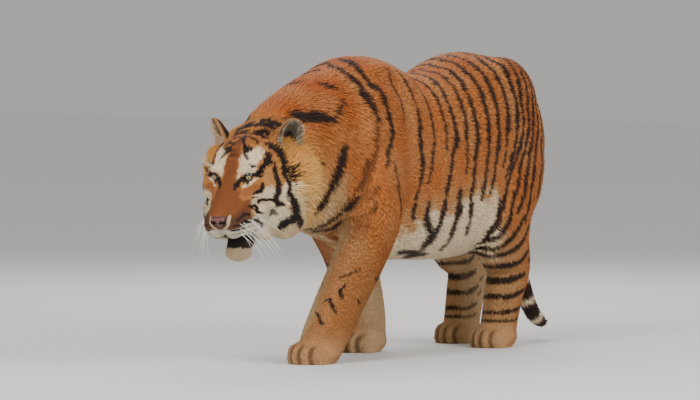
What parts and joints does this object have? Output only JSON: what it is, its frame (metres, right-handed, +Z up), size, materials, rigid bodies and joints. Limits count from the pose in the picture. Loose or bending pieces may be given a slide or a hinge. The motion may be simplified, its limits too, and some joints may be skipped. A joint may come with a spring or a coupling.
{
  "type": "tiger",
  "caption": "Life-size museum model of a heavy adult Amur tiger, walking with its head lowered and turned a little to its left, its tail hanging behind the hocks",
  "frame": {"origin": "centre of the bounding box seen from above, on the plane the paws stand on", "axes": "+Z up, -Y the way the tiger walks, +X its left side"},
  "size_m": [0.4887, 2.0165, 0.9858],
  "materials": {
    "coat": "short dense fur, orange with black stripes and pale underparts",
    "eyes": "wet, clear and glossy"
  },
  "bodies": {
    "root": {"trunk": "coat", "neck": "coat", "head": "coat", "lower_jaw": "coat", "ear_left": "coat", "ear_right": "coat", "eye_left": "eyes", "eye_right": "eyes", "upper_foreleg_left": "coat", "upper_foreleg_right": "coat", "lower_foreleg_left": "coat", "lower_foreleg_right": "coat", "forepaw_left": "coat", "forepaw_right": "coat", "thigh_left": "coat", "thigh_right": "coat", "lower_hindleg_left": "coat", "lower_hindleg_right": "coat", "hindpaw_left": "coat", "hindpaw_right": "coat", "tail_base": "coat", "tail_middle": "coat", "tail_tip": "coat"}
  },
  "joints": []
}
